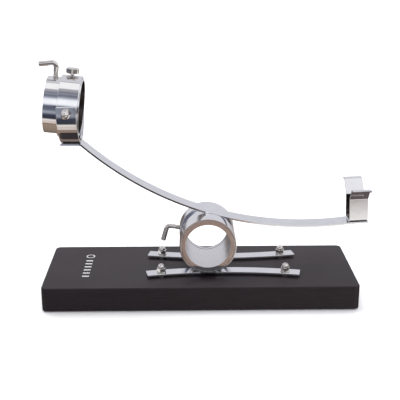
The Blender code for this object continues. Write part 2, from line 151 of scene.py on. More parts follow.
class Nodes:
    """A short way to write one material's node tree."""

    def __init__(self, tree):
        self.tree = tree

    def add(self, kind, **settings):
        node = self.tree.nodes.new(kind)
        for name, value in settings.items():
            setattr(node, name, value)
        return node

    def link(self, start, end):
        self.tree.links.new(start, end)

    def noise(self, place, scale, detail=4.0, roughness=0.5):
        node = self.add("ShaderNodeTexNoise")
        self.link(place, node.inputs["Vector"])
        node.inputs["Scale"].default_value = scale
        node.inputs["Detail"].default_value = detail
        node.inputs["Roughness"].default_value = roughness
        return node.outputs["Fac"]

    def stretched(self, place, scale):
        node = self.add("ShaderNodeMapping")
        self.link(place, node.inputs["Vector"])
        node.inputs["Scale"].default_value = scale
        return node.outputs["Vector"]

    def spread(self, value, low, high, start=0.3, end=0.7):
        """A value from 0 to 1 spread over low to high."""
        node = self.add("ShaderNodeMapRange")
        self.link(value, node.inputs["Value"])
        node.inputs["From Min"].default_value = start
        node.inputs["From Max"].default_value = end
        node.inputs["To Min"].default_value = low
        node.inputs["To Max"].default_value = high
        return node.outputs["Result"]

    def ramp(self, value, stops, interpolation="LINEAR"):
        node = self.add("ShaderNodeValToRGB")
        node.color_ramp.interpolation = interpolation
        elements = node.color_ramp.elements
        while len(elements) > 1:
            elements.remove(elements[-1])
        elements[0].position = stops[0][0]
        elements[0].color = (*stops[0][1], 1)
        for position, colour in stops[1:]:
            elements.new(position).color = (*colour, 1)
        self.link(value, node.inputs["Fac"])
        return node.outputs["Color"]

    def mix(self, factor, first, second):
        node = self.add("ShaderNodeMix", data_type="RGBA")
        self.link(factor, node.inputs["Factor"])
        for socket, value in ((node.inputs["A"], first), (node.inputs["B"], second)):
            if isinstance(value, tuple):
                socket.default_value = value
            else:
                self.link(value, socket)
        return node.outputs["Result"]

    def maths(self, operation, first, second):
        node = self.add("ShaderNodeMath", operation=operation)
        for socket, value in zip(node.inputs, (first, second)):
            if isinstance(value, (int, float)):
                socket.default_value = value
            else:
                self.link(value, socket)
        return node.outputs["Value"]

    def bump(self, height, strength, distance, under=None):
        node = self.add("ShaderNodeBump")
        node.inputs["Strength"].default_value = strength
        node.inputs["Distance"].default_value = distance
        self.link(height, node.inputs["Height"])
        if under is not None:
            self.link(under, node.inputs["Normal"])
        return node.outputs["Normal"]


def new_material(name):
    material = bpy.data.materials.new(name)
    material.use_nodes = True
    nodes = Nodes(material.node_tree)
    shader = material.node_tree.nodes["Principled BSDF"]
    place = nodes.add("ShaderNodeTexCoord").outputs["Object"]
    return material, nodes, shader, place


# ---------------------------------------------------------------- materials


def plated(name, dark, light, smooth, worn, grain=(1, 1, 1), waviness=0.25):
    """Plated steel: faint clouding, fine polishing lines along grain, and a slightly wavy surface."""
    material, nodes, shader, place = new_material(name)
    cloud = nodes.noise(place, 55, 5)
    lines = nodes.noise(nodes.stretched(place, grain), 900, 3, 0.6)
    both = nodes.maths("ADD", nodes.maths("MULTIPLY", cloud, 0.65), nodes.maths("MULTIPLY", lines, 0.35))
    nodes.link(nodes.ramp(both, ((0.35, dark), (0.65, light))), shader.inputs["Base Color"])
    nodes.link(nodes.spread(both, smooth, worn, 0.38, 0.68), shader.inputs["Roughness"])
    wave = nodes.bump(nodes.noise(place, 38, 2), waviness, 0.0004)
    nodes.link(nodes.bump(lines, 0.05, 0.00006, wave), shader.inputs["Normal"])
    shader.inputs["Metallic"].default_value = 1.0
    return material


def black_board():
    """Black-stained board: close grain along its length, a satin film, and faint pores."""
    material, nodes, shader, place = new_material("black_stained_wood")
    grain = nodes.noise(nodes.stretched(place, (3, 60, 60)), 14, 6, 0.6)
    pores = nodes.noise(nodes.stretched(place, (10, 240, 240)), 18, 3, 0.7)
    cloud = nodes.noise(place, 9, 3)
    both = nodes.maths("ADD", nodes.maths("MULTIPLY", grain, 0.7), nodes.maths("MULTIPLY", pores, 0.3))
    tones = (
        (0.30, (0.0080, 0.0050, 0.0064)),
        (0.52, (0.0150, 0.0095, 0.0118)),
        (0.75, (0.0260, 0.0180, 0.0215)),
    )
    nodes.link(nodes.ramp(both, tones), shader.inputs["Base Color"])
    film = nodes.maths("ADD", nodes.maths("MULTIPLY", cloud, 0.5), nodes.maths("MULTIPLY", both, 0.5))
    nodes.link(nodes.spread(film, 0.36, 0.50), shader.inputs["Roughness"])
    shader.inputs["Specular IOR Level"].default_value = 0.34
    nodes.link(nodes.bump(both, 0.10, 0.00025), shader.inputs["Normal"])
    return material


def rubber():
    material, nodes, shader, place = new_material("foot_rubber")
    speckle = nodes.noise(place, 600, 3)
    tones = ((0.3, (0.012, 0.012, 0.012)), (0.7, (0.028, 0.027, 0.027)))
    nodes.link(nodes.ramp(speckle, tones), shader.inputs["Base Color"])
    nodes.link(nodes.spread(speckle, 0.7, 0.9), shader.inputs["Roughness"])
    nodes.link(nodes.bump(speckle, 0.3, 0.0002), shader.inputs["Normal"])
    return material


def white_print():
    """Screen-printed ink, thin enough in places for the grain to show."""
    material, nodes, shader, place = new_material("white_ink")
    wear = nodes.noise(nodes.stretched(place, (4, 30, 30)), 40, 4)
    tones = ((0.30, (0.42, 0.42, 0.42)), (0.50, (0.66, 0.66, 0.66)))
    nodes.link(nodes.ramp(wear, tones), shader.inputs["Base Color"])
    nodes.link(nodes.spread(wear, 0.45, 0.6), shader.inputs["Roughness"])
    return material


CHROME = plated("chrome", (0.84, 0.84, 0.85), (0.91, 0.91, 0.92), 0.04, 0.10, waviness=0.12)
CHROME_STRIP = plated("chrome_strip", (0.82, 0.82, 0.84), (0.90, 0.90, 0.92), 0.05, 0.14, (0.15, 4, 1), 0.2)
CHROME_INSIDE = plated("chrome_inside", (0.76, 0.75, 0.76), (0.84, 0.83, 0.84), 0.26, 0.36, waviness=0.08)
# chrome_shaded is chrome darkened to paint shade and dark reflections into bores, channels and edges
CHROME_SHADED = plated("chrome_shaded", (0.20, 0.175, 0.172), (0.33, 0.29, 0.282), 0.20, 0.32, waviness=0.2)
NICKEL = plated("nickel", (0.78, 0.75, 0.71), (0.88, 0.85, 0.81), 0.05, 0.10, waviness=0.05)
STEEL = plated("turned_steel", (0.70, 0.66, 0.62), (0.86, 0.82, 0.78), 0.10, 0.20, waviness=0.1)
# Dark weld metal whose darkness also paints the shade in the gaps where these beads lie
DARK_WELD_AND_SHADE = plated("dark_weld_and_shade", (0.05, 0.045, 0.045), (0.12, 0.11, 0.11), 0.3, 0.5, waviness=0.8)
ZINC = plated("weld_metal", (0.52, 0.52, 0.53), (0.70, 0.70, 0.72), 0.22, 0.42, waviness=0.8)
BOARD = black_board()
RUBBER = rubber()
INK = white_print()


# ---------------------------------------------------------------- mesh helpers


def piece(name, shape, material, body, matrix=None, stands_for=(), sharp=radians(38), inside=()):
    """Turns a bmesh into a piece that rides on a body and stands for CAD nodes.

    inside lists (test, material) pairs: the faces that pass the test take that material instead, either a
    duller chrome or chrome darkened as painted shade.
    """
    bmesh.ops.recalc_face_normals(shape, faces=shape.faces)
    for number, (test, _) in enumerate(inside, 1):
        for face in shape.faces:
            if test(face):
                face.material_index = number
    mesh = bpy.data.meshes.new(name)
    shape.to_mesh(mesh)
    shape.free()
    mesh.shade_smooth()
    mesh.set_sharp_from_angle(angle=sharp)
    made = bpy.data.objects.new(name, mesh)
    bpy.context.scene.collection.objects.link(made)
    if matrix is not None:
        made.matrix_world = matrix
    for each in (material, *(other for _, other in inside)):
        mesh.materials.append(each)
    weigh_normals(made)
    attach(made, body)
    if stands_for:
        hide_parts(*stands_for)
    return made


def in_bore(radius):
    """Picks the faces of a round bore."""
    return lambda face: face.calc_center_median().xy.length < radius + 0.05 * MM


def weigh_normals(made):
    """Keeps flat and round faces true right up to their eased edges."""
    weighted = made.modifiers.new("weighted normals", "WEIGHTED_NORMAL")
    weighted.mode = "FACE_AREA_WITH_ANGLE"
    weighted.keep_sharp = True


def arc(centre, radius, start, end, steps):
    return [
        (centre[0] + radius * cos(a), centre[1] + radius * sin(a))
        for a in (start + (end - start) * step / steps for step in range(steps + 1))
    ]


def corner_arc(before, corner, after, radius, steps):
    """The arc that rounds one corner of a path."""
    here = Vector(corner)
    back = (Vector(before) - here).normalized()
    ahead = (Vector(after) - here).normalized()
    half = back.angle(ahead) / 2
    reach = radius / (sin(half) / cos(half))
    centre = here + (back + ahead).normalized() * radius / sin(half)
    first = here + back * reach - centre
    last = here + ahead * reach - centre
    turn = atan2(first.x * last.y - first.y * last.x, first.dot(last))
    start = atan2(first.y, first.x)
    return arc(centre, radius, start, start + turn, steps)


def rounded(corners, radius, steps=8):
    """An open path with its inner corners rounded."""
    path = [corners[0]]
    for before, corner, after in zip(corners, corners[1:], corners[2:]):
        path += corner_arc(before, corner, after, radius, steps)
    return path + [corners[-1]]


def rounded_loop(corners, radius, steps=3):
    """A closed outline with every corner rounded."""
    path = []
    for number, corner in enumerate(corners):
        after = corners[(number + 1) % len(corners)]
        path += corner_arc(corners[number - 1], corner, after, radius, steps)
    return path


def skin(shape, rows, closed_rows=False, sides_closed=True):
    """Joins rows of vertices with quads."""
    pairs = list(zip(rows, rows[1:]))
    if closed_rows:
        pairs.append((rows[-1], rows[0]))
    for low, high in pairs:
        count = len(low)
        for step in range(count if sides_closed else count - 1):
            after = (step + 1) % count
            corners = list(dict.fromkeys([low[step], low[after], high[after], high[step]]))
            if len(corners) > 2:
                shape.faces.new(corners)


def lathe(profile, sides=SIDES, closed=False, warp=None):
    """A turned solid about Z; warp(radius, height, angle) may change a radius, as for a knurl."""
    shape = bmesh.new()
    rows = []
    for radius, height in profile:
        if radius == 0:
            rows.append([shape.verts.new((0, 0, height))] * sides)
            continue
        row = []
        for step in range(sides):
            angle = 2 * pi * step / sides
            reach = warp(radius, height, angle) if warp else radius
            row.append(shape.verts.new((reach * cos(angle), reach * sin(angle), height)))
        rows.append(row)
    skin(shape, rows, closed_rows=closed)
    return shape


def ring(bore, radius, low, high, edge, sides=SIDES):
    corners = [(bore, low), (radius, low), (radius, high), (bore, high)]
    return lathe(rounded_loop(corners, edge), sides, closed=True)


def section(in_plane, across, edge):
    """A strip's rounded cross-section, as (offset in the path's plane, offset across it) points."""
    x, y = in_plane / 2, across / 2
    return rounded_loop([(x, -y), (x, y), (-x, y), (-x, -y)], edge, 4)


def ribbon(path, in_plane, across, edge=0.45 * MM):
    """A strip swept along a path in the XY plane, with eased edges and ends."""
    points = [Vector(point) for point in path]
    first, last = (points[1] - points[0]).normalized(), (points[-1] - points[-2]).normalized()
    points.insert(1, points[0] + first * edge)
    points.insert(-1, points[-1] - last * edge)
    shape = bmesh.new()
    rows = []
    for number, point in enumerate(points):
        before = (point - points[number - 1]).normalized() if number else first
        after = (points[number + 1] - point).normalized() if number + 1 < len(points) else last
        heading = (before + after).normalized()
        normal = Vector((-heading.y, heading.x))
        mitre = 1 / max(0.2, heading.dot(after))
        at_end = number in (0, len(points) - 1)
        shrink = edge if at_end else 0
        outline = section(in_plane - 2 * shrink, across - 2 * shrink, edge if not at_end else edge / 4)
        rows.append(
            [
                shape.verts.new((*(point + normal * offset * mitre), height))
                for offset, height in outline
            ]
        )
    skin(shape, rows)
    shape.faces.new(rows[0])
    shape.faces.new(rows[-1][::-1])
    return shape


def rod(path, radius_at, sides=32):
    """A round rod along a path in the XY plane; radius_at(distance, angle) gives its radius."""
    points = [Vector((x, y, 0)) for x, y in path]
    shape = bmesh.new()
    rows = []
    distance = 0
    for number, centre in enumerate(points):
        before = points[max(number - 1, 0)]
        after = points[min(number + 1, len(points) - 1)]
        distance += (centre - before).length
        heading = (after - before).normalized()
        side = Vector((-heading.y, heading.x, 0))
        row = []
        for step in range(sides):
            angle = 2 * pi * step / sides
            out = side * cos(angle) + Vector((0, 0, sin(angle)))
            row.append(shape.verts.new(centre + out * radius_at(distance, angle)))
        rows.append(row)
    skin(shape, rows)
    shape.faces.new(rows[0])
    shape.faces.new(rows[-1][::-1])
    return shape


def thread(distance, angle):
    """How deep a thread lies below its crest."""
    turn = (distance / THREAD_PITCH + angle / (2 * pi)) % 1
    return THREAD_DEEP * abs(2 * turn - 1)


def hexagon(angle):
    return HEX_FLAT / cos(angle % (pi / 3) - pi / 6)


def drill(made, matrix, radius, low, high):
    """Cuts a round hole through a piece and keeps the result as its mesh."""
    mesh = bpy.data.meshes.new("drill")
    shape = lathe([(0, low), (radius, low), (radius, high), (0, high)], 48)
    bmesh.ops.recalc_face_normals(shape, faces=shape.faces)
    shape.to_mesh(mesh)
    shape.free()
    cutter = bpy.data.objects.new("drill", mesh)
    bpy.context.scene.collection.objects.link(cutter)
    cutter.matrix_world = matrix
    made.modifiers.clear()
    boolean = made.modifiers.new("drill", "BOOLEAN")
    boolean.object = cutter
    boolean.solver = "EXACT"
    bpy.context.view_layer.update()
    evaluated = made.evaluated_get(bpy.context.evaluated_depsgraph_get())
    result = bpy.data.meshes.new_from_object(evaluated)
    made.modifiers.clear()
    made.data = result
    bpy.data.objects.remove(cutter)
    result.set_sharp_from_angle(angle=radians(38))
    weigh_normals(made)


def facing(origin, direction):
    """Puts Z along a direction from an origin."""
    turn = Vector((0, 0, 1)).rotation_difference(Vector(direction))
    return Matrix.Translation(origin) @ turn.to_matrix().to_4x4()


def plane(origin, first, second):
    """Puts X and Y along two directions at right angles."""
    first, second = Vector(first), Vector(second)
    turn = Matrix((first, second, first.cross(second))).transposed()
    return Matrix.Translation(origin) @ turn.to_4x4()


def bead(name, start, end, radius, body, seed=0.0, material=ZINC):
    """A weld bead: a lumpy rod with close ripples and round ends."""
    start, end = Vector(start), Vector(end)
    length = (end - start).length
    steps = max(24, int(length / (0.25 * MM)))

    def radius_at(distance, angle):
        near = min(distance, length - distance) / radius
        round_end = sqrt(max(0.02, 1 - (1 - min(1, near)) ** 2))
        ripple = 0.09 * sin(2 * pi * distance / (1.1 * MM) + 1.2 * cos(angle))
        lump = 0.10 * sin(distance / (3.7 * MM) + seed) + 0.06 * sin(3 * angle + distance / (2.3 * MM) + seed)
        return radius * round_end * (1 + ripple + lump)

    shape = rod([(length * step / steps, 0) for step in range(steps + 1)], radius_at, 20)
    along = (end - start).normalized()
    side = along.orthogonal().normalized()
    piece(name, shape, material, body, plane(start, along, side))


# ---------------------------------------------------------------- base


def make_board():
    low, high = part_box("base_board")
    r = BOARD_CORNER
    shape = bmesh.new()
    levels = [(low.z, BOARD_EDGE / 2)]
    levels += [(low.z + BOARD_EDGE / 2, 0)]
    steps = 5
    for step in range(steps + 1):
        angle = 0.5 * pi * step / steps
        levels.append((high.z - BOARD_EDGE * (1 - sin(angle)), BOARD_EDGE * (1 - cos(angle))))
    rows = []
    for height, inset in levels:
        row = []
        for x, y, start in ((1, 1, 0), (-1, 1, 0.5 * pi), (-1, -1, pi), (1, -1, 1.5 * pi)):
            centre = ((high.x if x > 0 else low.x) - x * r, (high.y if y > 0 else low.y) - y * r)
            row += arc(centre, r - inset, start, start + 0.5 * pi, 12)
        rows.append([shape.verts.new((px, py, height)) for px, py in row])
    skin(shape, rows)
    shape.faces.new(rows[0][::-1])
    shape.faces.new(rows[-1])
    board = piece("board", shape, BOARD, "base", stands_for=["base_board"])
    recess_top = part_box("bolt_washer_front_left")[1].z + GAP
    foot_low, foot_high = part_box("foot_front_left")
    foot_radius = (foot_high.x - foot_low.x) / 2
    for corner in CORNERS:
        bolt = centre_of(f"base_bolt_{corner}")
        foot = centre_of(f"foot_{corner}")
        drill(board, Matrix.Translation((bolt.x, bolt.y, 0)), RECESS_RADIUS, -5 * MM, recess_top)
        drill(board, Matrix.Translation((bolt.x, bolt.y, 0)), HOLE, -5 * MM, high.z + 5 * MM)
        drill(board, Matrix.Translation((foot.x, foot.y, 0)), foot_radius + GAP, -5 * MM, foot_high.z + GAP)


def centre_of(node):
    low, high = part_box(node)
    return (low + high) / 2


def make_feet():
    for corner in CORNERS:
        low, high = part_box(f"foot_{corner}")
        middle, radius, tall = (low + high) / 2, (high.x - low.x) / 2, high.z - low.z
        edge, dish = 0.6 * MM, 0.25 * MM
        profile = [(0, dish), (radius * 0.7, dish), (radius * 0.76, 0)]
        profile += arc((radius - edge, edge), edge, -0.5 * pi, 0, 4)
        profile += [(radius, tall), (0, tall)]
        shape = lathe(profile, 64)
        matrix = Matrix.Translation((middle.x, middle.y, low.z))
        piece(f"rubber_foot_{corner}", shape, RUBBER, "base", matrix, [f"foot_{corner}"])


def make_straps():
    half_turn = STRAP_LENGTH / 2 / STRAP_BOW
    for name, side in SIDES_OF_STAND:
        low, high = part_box(f"strap_{name}")
        middle = side * pi / -2
        inner = min(abs(low.y), abs(high.y))
        centre = ((low.x + high.x) / 2, side * (inner + STRAP_WIDTH / 2 + STRAP_BOW))
        path = arc(centre, STRAP_BOW, middle - half_turn, middle + half_turn, 72)
        shape = ribbon(path, STRAP_WIDTH, STRIP_THICK)
        matrix = Matrix.Translation((0, 0, (low.z + high.z) / 2))
        strap = piece(f"bowed_strap_{name}", shape, CHROME_STRIP, "base", matrix, [f"strap_{name}"])
        for corner in CORNERS:
            if corner.startswith(name):
                place = centre_of(f"base_bolt_{corner}")
                drill(strap, Matrix.Translation((place.x, place.y, 0)), HOLE, low.z - 5 * MM, high.z + 5 * MM)


def washer_shape(thickness, radius):
    return ring(HOLE, radius, 0, thickness, min(0.28 * MM, thickness / 4), 64)


def dome_nut_shape(high):
    """Chamfered hexagon, then a dome."""
    centre = high - NUT_DOME
    corner = HEX_CORNER + 0.05 * MM
    chamfer = 7.1 * MM
    profile = [(0, NUT_BORE_DEEP), (HOLE, NUT_BORE_DEEP), (HOLE, 0.4 * MM), (HOLE + 0.4 * MM, 0)]
    profile += [(HEX_FLAT, 0), (chamfer, 0.25 * MM), (corner, 0.6 * MM)]
    profile += [(corner, NUT_HEX - 0.7 * MM), (chamfer, NUT_HEX - 0.35 * MM)]
    profile += [(6.6 * MM, NUT_HEX - 0.12 * MM), (6.1 * MM, NUT_HEX), (NUT_DOME, NUT_HEX + 0.2 * MM)]
    profile += [(NUT_DOME * cos(a), centre + NUT_DOME * sin(a)) for a in map(radians, range(0, 90, 6))]
    profile += [(0, high)]

    def warp(radius, height, angle):
        return min(radius, hexagon(angle)) if height < NUT_HEX and radius > HEX_FLAT else radius

    return lathe(profile, 96, warp=warp)


def hexagon_bolt_shape(low, head_high, top):
    """Hexagon head at the bottom, threaded shank above it."""
    thread_from = top - 16 * MM

    def warp(radius, height, angle):
        if height < head_high and radius > HEX_FLAT:
            return min(radius, hexagon(angle))
        if height > thread_from and radius == ROD:
            return ROD - thread(height, angle)
        return radius

    profile = [(0, low), (6.6 * MM, low), (7.1 * MM, low + 0.3 * MM), (HEX_CORNER, low + 0.6 * MM)]
    profile += [(HEX_CORNER, head_high - 0.001 * MM), (4.6 * MM, head_high), (ROD, head_high + 0.4 * MM)]
    turns = int((top - 0.8 * MM - thread_from) / (THREAD_PITCH / 6))
    profile += [(ROD, thread_from + step * THREAD_PITCH / 6) for step in range(turns)]
    profile += [(ROD - 0.8 * MM, top), (0, top)]
    return lathe(profile, 48, warp=warp)


def make_strap_fasteners():
    for corner in CORNERS:
        for kind in ("bolt_washer", "strap_washer", "strap_spacer"):
            low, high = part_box(f"{kind}_{corner}")
            place = Matrix.Translation(((low.x + high.x) / 2, (low.y + high.y) / 2, low.z))
            shape = washer_shape(high.z - low.z, (high.x - low.x) / 2)
            piece(f"plated_{kind}_{corner}", shape, NICKEL, "base", place, [f"{kind}_{corner}"])
        low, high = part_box(f"base_bolt_{corner}")
        middle = (low + high) / 2
        shape = hexagon_bolt_shape(low.z, low.z + HEAD_HIGH, high.z)
        place = Matrix.Translation((middle.x, middle.y, 0))
        piece(f"hexagon_bolt_{corner}", shape, NICKEL, "base", place, [f"base_bolt_{corner}"])
        low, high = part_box(f"dome_nut_{corner}")
        place = Matrix.Translation((middle.x, middle.y, low.z)) @ Matrix.Rotation(radians(17), 4, "Z")
        shape = dome_nut_shape(high.z - low.z)
        piece(f"acorn_nut_{corner}", shape, NICKEL, "base", place, [f"dome_nut_{corner}"])


# ---------------------------------------------------------------- hub


def make_hub():
    low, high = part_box("hub_tube")
    half = (high.y - low.y) / 2
    lengthways = facing(HUB, (0, 1, 0))
    for name, side in SIDES_OF_STAND:
        near, far = sorted((side * COLLAR_FROM, side * half))
        shape = ring(COLLAR_BORE, HUB_RADIUS, near, far, 0.3 * MM)
        collar = piece(f"collar_{name}", shape, CHROME, "base", lengthways, [f"hub_collar_{name}"])
        if name == "rear":
            drill(collar, facing(LEVER_ROOT, LEVER_OUT), HOLE, COLLAR_BORE - 5 * MM, HUB_RADIUS + 5 * MM)
    shape = ring(HUB_BORE, TUBE_RADIUS, -half, half, 0.3 * MM)
    # The cuts mark off a band a little inside the far rim, and the rim itself, for painted shade
    shade_band_from, shade_band_to, rim_from = (half - depth * MM for depth in (11, 8.5, 3))
    for height in (shade_band_from, shade_band_to, rim_from):
        everything = shape.verts[:] + shape.edges[:] + shape.faces[:]
        bmesh.ops.bisect_plane(shape, geom=everything, plane_co=(0, 0, height), plane_no=(0, 0, 1))

    def at_far_end(face):
        """Two rings of painted shade, one at the far rim and one a little inside it."""
        place = face.calc_center_median()
        in_ring = place.z > rim_from or shade_band_from < place.z < shade_band_to
        return in_ring and place.xy.length < HUB_BORE + 0.25 * MM

    bore = [(in_bore(HUB_BORE), CHROME_INSIDE), (at_far_end, CHROME_SHADED)]
    piece("turning_tube", shape, CHROME, "gondola", lengthways, ["hub_tube"], inside=bore)


def rod_path(start, reach, tip, thread_to):
    """A straight threaded stretch, one bend, then the handle's arm."""
    fine = THREAD_PITCH / 8
    count = int((thread_to - start) / fine)
    path = [(start + step * fine, 0) for step in range(count + 1)]
    path += rounded([(thread_to, 0), (reach, 0), tip], ROD_BEND, 14)[1:-1]
    end = Vector(tip)
    back = (Vector(path[-1]) - end).normalized()
    path += [tuple(end + back * 0.8 * MM), tuple(end + back * 0.35 * MM), tuple(end)]
    return path


def length_of(path):
    return sum((Vector(b) - Vector(a)).length for a, b in zip(path, path[1:]))


def handle_radius(distance, total):
    """The rod's end is rounded over."""
    left = total - distance
    return ROD if left > 0.79 * MM else ROD - 0.75 * MM * (1 - left / (0.8 * MM)) ** 2


def make_lever():
    down = LEVER_OUT.cross(Vector((0, 1, 0)))
    start = TUBE_RADIUS + GAP
    thread_to = HUB_RADIUS + 7 * MM
    tip = (LEVER_REACH + LEVER_ARM * sin(LEVER_SPLAY), LEVER_ARM * cos(LEVER_SPLAY))
    path = rod_path(start, LEVER_REACH, tip, thread_to)
    total = length_of(path)

    def radius_at(distance, angle):
        if distance < thread_to - start:
            return ROD - thread(distance, angle)
        return handle_radius(distance, total)

    if down.z > 0:
        down = -down
    matrix = plane(LEVER_ROOT, LEVER_OUT, down)
    piece("lock_lever", rod(path, radius_at), STEEL, "hub_lever", matrix, ["hub_lock_lever"])


def make_hub_welds():
    """Beads in the wedges between collars and straps, and between the arm and its tube."""
    strap_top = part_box("strap_front")[1].z
    collar_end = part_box("hub_collar_rear")[1].y
    for name, side in SIDES_OF_STAND:
        for end, x in (("left", -1), ("right", 1)):
            across = x * 11.5 * MM
            start = (across, side * 23 * MM, strap_top + 0.4 * MM)
            stop = (across, side * 40 * MM, strap_top + 0.4 * MM)
            bead(f"strap_weld_{name}_{end}", start, stop, 1.9 * MM, "base", seed=side + x)
        # The dark bead across each collar's end paints the shade under the collar's rim
        end_face = side * (collar_end + 0.2 * MM)
        start, stop = ((x * 13 * MM, end_face, strap_top + 0.5 * MM) for x in (-1, 1))
        bead(f"strap_weld_{name}_end", start, stop, 1.3 * MM, "base", seed=side, material=DARK_WELD_AND_SHADE)
    for end, turn in (("left", -14), ("right", 14)):
        angle = ARM_LEAN + radians(turn)
        normal = Vector((sin(angle), 0, cos(angle)))
        place = HUB + normal * (TUBE_RADIUS + 0.5 * MM)
        half = Vector((0, ARM_WIDTH / 2 - 1 * MM, 0))
        bead(f"arm_weld_{end}", place - half, place + half, 1.5 * MM, "gondola", seed=turn)


# ---------------------------------------------------------------- arm, fork and cradle


def arm_places():
    centre = Vector((HUB.x, HUB.z)) + Vector((sin(ARM_LEAN), cos(ARM_LEAN))) * (
        TUBE_RADIUS + GAP + STRIP_THICK + ARM_RADIUS
    )
    middle = ARM_RADIUS + STRIP_THICK / 2
    right_end = centre + middle * Vector((sin(ARM_RIGHT), -cos(ARM_RIGHT)))
    tail_end = right_end + ARM_TAIL * Vector((cos(TAIL_SLOPE), sin(TAIL_SLOPE)))
    return centre, middle, tail_end


def make_arm():
    centre, middle, tail_end = arm_places()
    left_normal = Vector((sin(ARM_LEFT), -cos(ARM_LEFT)))
    bend_centre = centre + (middle + SEAT_BEND) * left_normal
    big = arc(centre, middle, ARM_RIGHT - pi / 2, ARM_LEFT - pi / 2, 150)
    bend = arc(bend_centre, SEAT_BEND, ARM_LEFT + pi / 2, pi / 2, 12)
    path = [tuple(tail_end), *big, *bend[1:], (bend[-1][0] - SEAT_LENGTH, bend_centre.y + SEAT_BEND)]
    shape = ribbon(path, STRIP_THICK, ARM_WIDTH, 0.2 * MM)
    seat_to, hub_from = bend[-1][0], -3 * MM

    def on_left_edge(face):
        """The cut edges between the seat and the hub, painted dark as shade."""
        return seat_to < face.calc_center_median().x < hub_from and abs(face.normal.z) > 0.9

    matrix = plane((0, 0, 0), (1, 0, 0), (0, 0, 1))
    # The left part of the arm's edges takes chrome darkened as painted shade
    edges = [(on_left_edge, CHROME_SHADED)]
    piece("arm_strip", shape, CHROME_STRIP, "gondola", matrix, ["gondola_arm"], inside=edges)


def make_fork():
    middle = FORK_RADIUS + STRIP_THICK / 2
    path = [(middle, FORK_EAR), *arc((0, 0), middle, 0, -pi, 72), (-middle, FORK_EAR)]
    shape = ribbon(path, STRIP_THICK, FORK_WIDTH)
    matrix = plane(PIVOT, (0, 1, 0), (0, 0, 1))
    fork = piece("holder_fork", shape, CHROME, "gondola", matrix, ["ring_fork"])
    half = FORK_RADIUS + 10 * MM
    drill(fork, facing(PIVOT, (0, 1, 0)), HOLE, -half, half)
    seat_top = PIVOT.z - FORK_RADIUS - STRIP_THICK - GAP
    # The dark beads under the fork are weld metal and also paint the shade in the gap beneath it
    for name, side in SIDES_OF_STAND:
        y, z = side * 13 * MM, seat_top + 0.3 * MM
        start = (PIVOT.x - 14 * MM, y, z)
        stop = (PIVOT.x + 11 * MM, y, z)
        bead(f"fork_weld_{name}", start, stop, 1.6 * MM, "gondola", seed=side, material=DARK_WELD_AND_SHADE)


def make_cradle():
    tail_end = arm_places()[2]
    half_profile = [
        (LIP_HALF, FLARE_TOP),
        (FLARE_HALF, FLARE_TOP),
        (CRADLE_HALF, CRADLE_WALL),
        (CRADLE_HALF, 0),
    ]
    corners = half_profile + [(-y, z) for y, z in reversed(half_profile)]
    slope = Vector((cos(TAIL_SLOPE), 0, sin(TAIL_SLOPE)))
    upright = Vector((-sin(TAIL_SLOPE), 0, cos(TAIL_SLOPE)))
    under = Vector((tail_end.x, 0, tail_end.y)) - CRADLE_FROM_END * slope
    origin = under + (STRIP_THICK / 2 + GAP + CRADLE_THICK / 2) * upright
    shape = ribbon(rounded(corners, CRADLE_BEND, 10), CRADLE_THICK, CRADLE_WIDTH)

    def on_wall(face):
        place = face.calc_center_median()
        return place.y < CRADLE_WALL and face.normal.x * place.x < -0.001 * MM

    def on_floor(face):
        place = face.calc_center_median()
        return 0 < place.y < CRADLE_BEND and face.normal.y > 0.9

    def on_lip(face):
        return abs(face.calc_center_median().x) > LIP_HALF - 0.4 * MM

    # The inner walls are chrome darkened as painted shade, the lip's ends are painted dark as a reflection,
    # and the floor is duller chrome
    inner = [(on_wall, CHROME_SHADED), (on_floor, CHROME_INSIDE), (on_lip, CHROME_SHADED)]
    matrix = plane(origin, (0, 1, 0), upright)
    piece("ham_rest", shape, CHROME, "gondola", matrix, ["ham_cradle"], inside=inner)
    # The dark beads under the rest are weld metal and also paint the shade in the gap at its bend
    for name, side in SIDES_OF_STAND:
        y = Vector((0, side * (CRADLE_HALF - 0.4 * MM), 0))
        place = under + upright * (STRIP_THICK / 2 + 0.2 * MM) + y
        reach = slope * (CRADLE_WIDTH / 2 - 2 * MM)
        start, stop = place - reach, place + reach
        bead(f"rest_weld_{name}", start, stop, 1.1 * MM, "gondola", seed=2 * side, material=DARK_WELD_AND_SHADE)


# ---------------------------------------------------------------- hoof holder


def make_pivots():
    kinds = (("pivot_washer", "head_washer"), ("pivot_spacer", "head_spacer"))
    for name, side in SIDES_OF_STAND:
        outward = Vector((0, side, 0))
        for node, label in kinds:
            low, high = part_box(f"{node}_{name}")
            near = min(abs(low.y), abs(high.y))
            shape = washer_shape(high.y - low.y, (high.z - low.z) / 2)
            place = facing(PIVOT + outward * near, outward)
            piece(f"{label}_{name}", shape, NICKEL, "head", place, [f"{node}_{name}"])
        low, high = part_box(f"pivot_nut_{name}")
        near = min(abs(low.y), abs(high.y))
        place = facing(PIVOT + outward * near, outward)
        shape = dome_nut_shape(high.y - low.y)
        piece(f"head_nut_{name}", shape, NICKEL, "head", place, [f"pivot_nut_{name}"])
        low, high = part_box(f"pivot_stud_{name}")
        near, tall = min(abs(low.y), abs(high.y)), high.y - low.y
        shape = lathe([(0, 0), (ROD, 0), (ROD, tall - 0.5 * MM), (ROD - 0.5 * MM, tall), (0, tall)], 48)
        place = facing(PIVOT + outward * near, outward)
        piece(f"head_stud_{name}", shape, NICKEL, "head", place, [f"pivot_stud_{name}"])


